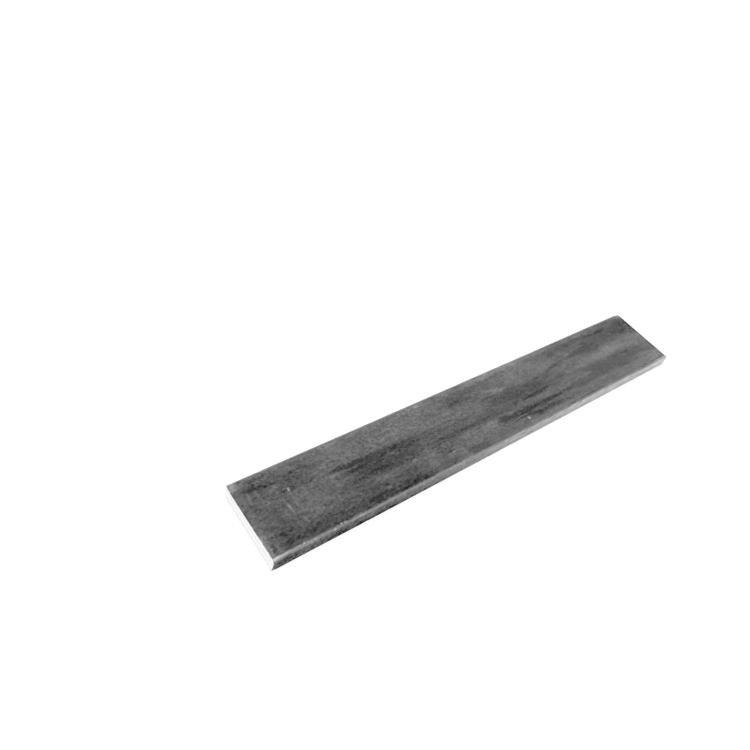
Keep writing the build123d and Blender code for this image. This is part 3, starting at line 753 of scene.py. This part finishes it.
def mill_scaled_steel():
    """Hot-rolled mild steel in its mill scale: a thin, dark, half-metallic oxide.

    It gives the eye a dark satin grey, streaked along the bar and mottled, with rougher,
    darker, speckled patches where the scale is thick and dull black pits in them, and
    pale smooth steel where the corners have been rubbed or the top scraped through it.
    The same steel paints the highlight and glint of the near corner and the sheen of the
    near edge, and some of the darker marks are painted shade.
    """
    finish, tree, shader, place_mm = new_finish("mill_scaled_steel")
    attribute = {}
    for name in MARK_NAMES:
        attribute[name] = node(tree, "ShaderNodeAttribute", attribute_name=name).outputs["Fac"]
    pattern = {}
    for shift, (name, sizes) in enumerate(SCALE_PATTERNS.items()):
        along, across, up, detail, roughness = sizes
        height = THICKNESS / MM * (1 / across - 1 / up)
        sized = node(tree, "ShaderNodeMapping", {
            "Vector": place_mm,
            "Location": (7.3 * shift, 3.1 * shift, 5.7 * shift + height),
            "Scale": (1 / along, 1 / across, 1 / up),
        })
        pattern[name] = node(tree, "ShaderNodeTexNoise", {
            "Vector": sized,
            "Scale": 1.0,
            "Detail": detail,
            "Roughness": roughness,
        })

    def lightened(tone, shares):
        """The tone, with each pattern's share of light and dark added to it."""
        for name, share in shares.items():
            centred = node(tree, "ShaderNodeMath", {0: pattern[name], 1: -0.5}, operation="ADD")
            tone = node(tree, "ShaderNodeMath", {0: centred, 1: share, 2: tone},
                        operation="MULTIPLY_ADD")
        return tone

    # A dark patch is broken up by the scale's lumps, and a light one is even.
    lumpy = node(tree, "ShaderNodeMapRange", {
        "Value": pattern["lump"], "From Min": NOISE_LOW, "From Max": NOISE_HIGH,
        "To Min": 0.45, "To Max": 1.55})
    dark = node(tree, "ShaderNodeMath", {0: attribute["scale_and_shade_tone"], 1: 0.0}, operation="MINIMUM")
    light = node(tree, "ShaderNodeMath", {0: attribute["scale_and_shade_tone"], 1: 0.0}, operation="MAXIMUM")
    placed = node(tree, "ShaderNodeMath", {0: dark, 1: lumpy, 2: light}, operation="MULTIPLY_ADD")
    even = node(tree, "ShaderNodeMath", {0: placed, 1: MIDDLE_TONE}, operation="ADD")
    even = lightened(even, EVEN_SHARES)
    pinholes = node(tree, "ShaderNodeMapRange", {
        "Value": pattern["pinhole"], "From Min": 0.60, "From Max": 0.72,
        "To Min": 0.0, "To Max": -PINHOLE_DEPTH}, interpolation_type="SMOOTHSTEP")
    speckle = lightened(pinholes, BROKEN_SHARES)
    tone = node(tree, "ShaderNodeMath", {0: speckle, 1: attribute["broken"], 2: even},
                operation="MULTIPLY_ADD")
    thinness = node(tree, "ShaderNodeMapRange", {"Value": tone, "From Min": BLACKEST})
    scale = node(tree, "ShaderNodeValToRGB", {"Fac": thinness})
    paint_ramp(scale.color_ramp, [((tone_there - BLACKEST) / (1 - BLACKEST), colour)
                                  for tone_there, colour in SCALE_COLOURS])

    # How far in from the edge this point is, against how far in the rubbing and its painted
    # highlight reach.
    axes = node(tree, "ShaderNodeSeparateXYZ", {"Vector": place_mm})
    off_middle = node(tree, "ShaderNodeMath", {0: axes.outputs["Y"]}, operation="ABSOLUTE")
    from_edge = node(tree, "ShaderNodeMath", {0: WIDTH / 2 / MM, 1: off_middle},
                     operation="SUBTRACT")
    ragged = node(tree, "ShaderNodeMath", {0: pattern["lump"], 1: RUB_RAGGED, 2: from_edge},
                  operation="MULTIPLY_ADD")
    ragged = node(tree, "ShaderNodeMath", {0: ragged, 1: RUB_RAGGED / 2}, operation="SUBTRACT")
    inside = node(tree, "ShaderNodeMath", {0: attribute["rub_and_highlight_reach"], 1: ragged},
                  operation="SUBTRACT")
    rub_and_highlight_band = node(tree, "ShaderNodeMapRange", {
        "Value": inside, "From Min": -RUB_SOFT, "From Max": RUB_SOFT},
        interpolation_type="SMOOTHSTEP")
    worn = node(tree, "ShaderNodeMapRange", {
        "Value": pattern["drawn_line"], "From Min": NOISE_LOW, "From Max": NOISE_HIGH,
        "To Min": 1 - RUB_LINES, "To Max": 1 + RUB_LINES})
    level = node(tree, "ShaderNodeMath", {0: attribute["rub_and_sheen_level"], 1: worn},
                 operation="MULTIPLY")
    level = node(tree, "ShaderNodeMath", {0: level, 1: rub_and_highlight_band}, operation="MULTIPLY")
    bare_and_sheen = node(tree, "ShaderNodeMath", {0: level, 1: attribute["scraped_and_glint"]},
                operation="MAXIMUM", use_clamp=True)

    colour = node(tree, "ShaderNodeMix", {"Factor": bare_and_sheen, 6: scale, 7: linear(RUBBED_STEEL_AND_SHEEN)},
                  data_type="RGBA")
    # The loose black oxide in the deepest pits has no shine.
    shine = node(tree, "ShaderNodeMapRange", {
        "Value": tone, "From Min": -0.45, "From Max": 0.05, "To Max": SCALE_METALLIC})
    gloss = node(tree, "ShaderNodeMath", {0: shine, 1: SCALE_GLOSS / SCALE_METALLIC},
                 operation="MULTIPLY")
    metal = node(tree, "ShaderNodeMapRange", {"Value": bare_and_sheen, "To Min": shine, "To Max": 1.0})
    # Thin scale is smoother than thick.
    rough = node(tree, "ShaderNodeMapRange", {
        "Value": tone, "From Min": 0.2, "From Max": 0.8, "To Min": 0.58, "To Max": 0.44})
    # Rubbing takes most of the lumps away.
    lumps = node(tree, "ShaderNodeMapRange", {"Value": bare_and_sheen, "To Min": 0.5, "To Max": 0.1})
    bump = node(tree, "ShaderNodeBump", {
        "Height": pattern["lump"], "Strength": lumps, "Distance": LUMP_HEIGHT})
    fill(tree, shader, {
        "Base Color": colour.outputs[2],
        "Metallic": metal,
        "Specular IOR Level": gloss,
        "Roughness": rough,
        "Normal": bump,
    })
    return finish


TOOTH_LINE = (9.0, 0.22)        # millimetres long, and from one to the next up the cut
TOOTH_LINE_DEPTH = 0.02 * MM
TOOTH_LINE_TONE = 0.06          # how much lighter or darker than the steel a line is
BAND_WANDER = 0.8               # millimetres between a band's lowest and its highest,
WANDER_LENGTH = 7.0             # and along the cut from one of its turns to the next
# How the bands run up the cut: share of the thickness, and the steel's colour there.
SAW_BANDS = (
    (0.0, "#dadada"),
    (0.17, "#e2e2e2"),
    (0.25, "#d9d9d9"),
    (0.33, "#e2e2e2"),
    (0.50, "#e7e7e7"),
    (0.60, "#dedede"),
    (0.68, "#dcdcdc"),
    (0.78, "#e4e4e4"),
    (1.0, "#e4e4e4"),
)


def saw_cut_steel():
    """Mild steel fresh from the saw: clean bright metal with the fine lines of the teeth.

    It gives the eye a pale end with soft lines along its width, duller at its foot and in
    two bands where the blade's feed changed. The lines spread the light like a matt face.
    """
    finish, tree, shader, place_mm = new_finish("saw_cut_steel")
    tooth_lines = node(tree, "ShaderNodeMapping", {
        "Vector": place_mm, "Scale": (1.0, 1 / TOOTH_LINE[0], 1 / TOOTH_LINE[1])})
    lines = node(tree, "ShaderNodeTexNoise", {"Vector": tooth_lines, "Scale": 1.0, "Detail": 3.0})
    wander = node(tree, "ShaderNodeTexNoise", {"Vector": place_mm, "Scale": 1 / WANDER_LENGTH})
    height = node(tree, "ShaderNodeSeparateXYZ", {"Vector": place_mm}).outputs["Z"]
    height = node(tree, "ShaderNodeMath", {0: wander, 1: BAND_WANDER, 2: height},
                  operation="MULTIPLY_ADD")
    height = node(tree, "ShaderNodeMath", {0: height, 1: BAND_WANDER / 2}, operation="SUBTRACT")
    share = node(tree, "ShaderNodeMath", {0: height, 1: THICKNESS / MM}, operation="DIVIDE")
    bands = node(tree, "ShaderNodeValToRGB", {"Fac": share})
    paint_ramp(bands.color_ramp, SAW_BANDS)
    streak = node(tree, "ShaderNodeMapRange", {
        "Value": lines, "From Min": NOISE_LOW, "From Max": NOISE_HIGH,
        "To Min": 1 - TOOTH_LINE_TONE, "To Max": 1 + TOOTH_LINE_TONE})
    steel = node(tree, "ShaderNodeMix", {"Factor": 1.0, 6: bands, 7: streak},
                 data_type="RGBA", blend_type="MULTIPLY")
    bump = node(tree, "ShaderNodeBump", {
        "Height": lines, "Strength": 0.5, "Distance": TOOTH_LINE_DEPTH})
    fill(tree, shader, {
        "Base Color": steel.outputs[2],
        "Metallic": 1.0,
        "Roughness": 0.85,
        "Normal": bump,
    })
    return finish


def make_flat_bar():
    """The dressed bar: its mesh, its two finishes, and its place in the frame."""
    mesh, skin_faces = flat_bar_mesh()
    mesh.materials.append(mill_scaled_steel())
    mesh.materials.append(saw_cut_steel())
    for face in mesh.polygons:
        face.use_smooth = True
        if face.index >= skin_faces:
            face.material_index = 1
    mesh.set_sharp_from_angle(angle=math.radians(30))
    bar = bpy.data.objects.new("flat_bar_skin", mesh)
    bpy.context.scene.collection.objects.link(bar)
    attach(bar, "root")
    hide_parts("flat_bar")


# ======================================================================
# The studio: floor, lamps, camera
# ======================================================================

WHITE = (1.0, 1.0, 1.0, 1.0)
ROOM_LEVEL = 0.740              # how strongly the white room lights the bar
FLOOR_REACH = 3.0               # how far the floor runs each way
FLOOR_GLOW = 0.92               # how much of the floor's white the shadow can't darken
FLOOR_PAINT = "#6c6c6c"
# Each lamp: where it shines from, the angle that it fills in degrees, and its power.
LAMPS = {
    "left_window": ((-0.75, 0.35, 0.60), 50.0, 0.9),
    "low_left_window": ((-1.00, 0.30, 0.04), 30.0, 1.72),
}
# The camera's place, and its turns in degrees: from X towards Y, down, and over to its
# own left.
CAMERA_PLACE = (-0.16758, -0.08628, 0.18904)
CAMERA_TURNS = (40.485, 45.103, 18.244)
LENS, SENSOR = 33.39, 36.0      # millimetres


def seen_directly(tree):
    """1 for what the camera sees, by itself or in metal or glass, and 0 for what only
    lights the bar."""
    path = node(tree, "ShaderNodeLightPath")
    seen = node(tree, "ShaderNodeMath", {
        0: path.outputs["Is Camera Ray"], 1: path.outputs["Is Glossy Ray"]}, operation="MAXIMUM")
    return node(tree, "ShaderNodeMath", {0: seen, 1: path.outputs["Is Transmission Ray"]},
                operation="MAXIMUM")


def lay_floor():
    """A white board that the bar lies on. It keeps a soft shadow."""
    mesh = bpy.data.meshes.new("floor")
    corners = ((-1, -1), (1, -1), (1, 1), (-1, 1))
    mesh.from_pydata([(x * FLOOR_REACH, y * FLOOR_REACH, 0) for x, y in corners],
                     [], [(0, 1, 2, 3)])
    floor = bpy.data.objects.new("floor", mesh)
    bpy.context.scene.collection.objects.link(floor)
    board = bpy.data.materials.new("white_board")
    board.use_nodes = True
    tree = board.node_tree
    glow = node(tree, "ShaderNodeMath", {0: seen_directly(tree), 1: FLOOR_GLOW},
                operation="MULTIPLY")
    fill(tree, tree.nodes["Principled BSDF"], {
        "Base Color": linear(FLOOR_PAINT),
        "Roughness": 0.9,
        "Specular IOR Level": 0.0,
        "Emission Color": WHITE,
        "Emission Strength": glow,
    })
    mesh.materials.append(board)


def light_room():
    """An even white room: plain white to the camera and in reflections."""
    world = bpy.data.worlds.new("white_room")
    bpy.context.scene.world = world
    world.use_nodes = True
    tree = world.node_tree
    level = node(tree, "ShaderNodeMapRange", {
        "Value": seen_directly(tree), "To Min": ROOM_LEVEL, "To Max": 1.0})
    fill(tree, tree.nodes["Background"], {"Color": WHITE, "Strength": level})


def hang_lamp(name, towards, softness, power):
    """A lamp too far off to fade across the floor. It shines from the direction given,
    and softness is the angle that it fills, in degrees."""
    light = bpy.data.lights.new(name, "SUN")
    light.angle = math.radians(softness)
    light.energy = power
    lamp = bpy.data.objects.new(name, light)
    lamp.rotation_euler = Vector(towards).to_track_quat("Z", "Y").to_euler()
    bpy.context.scene.collection.objects.link(lamp)


def set_camera():
    """Looks down along the bar from its near left end."""
    heading, dip, roll = (math.radians(turn) for turn in CAMERA_TURNS)
    forward = Vector((math.cos(dip) * math.cos(heading), math.cos(dip) * math.sin(heading),
                      -math.sin(dip)))
    data = bpy.data.cameras.new("camera")
    data.sensor_width = SENSOR
    data.lens = LENS
    data.clip_start = 0.01
    camera = bpy.data.objects.new("camera", data)
    camera.location = CAMERA_PLACE
    camera.rotation_mode = "QUATERNION"
    camera.rotation_quaternion = forward.to_track_quat("-Z", "Y") @ Quaternion((0, 0, 1), roll)
    bpy.context.scene.collection.objects.link(camera)
    bpy.context.scene.camera = camera


make_flat_bar()
lay_floor()
light_room()
for name, (towards, softness, power) in LAMPS.items():
    hang_lamp(name, towards, softness, power)
set_camera()
bpy.context.scene.view_settings.view_transform = "Standard"
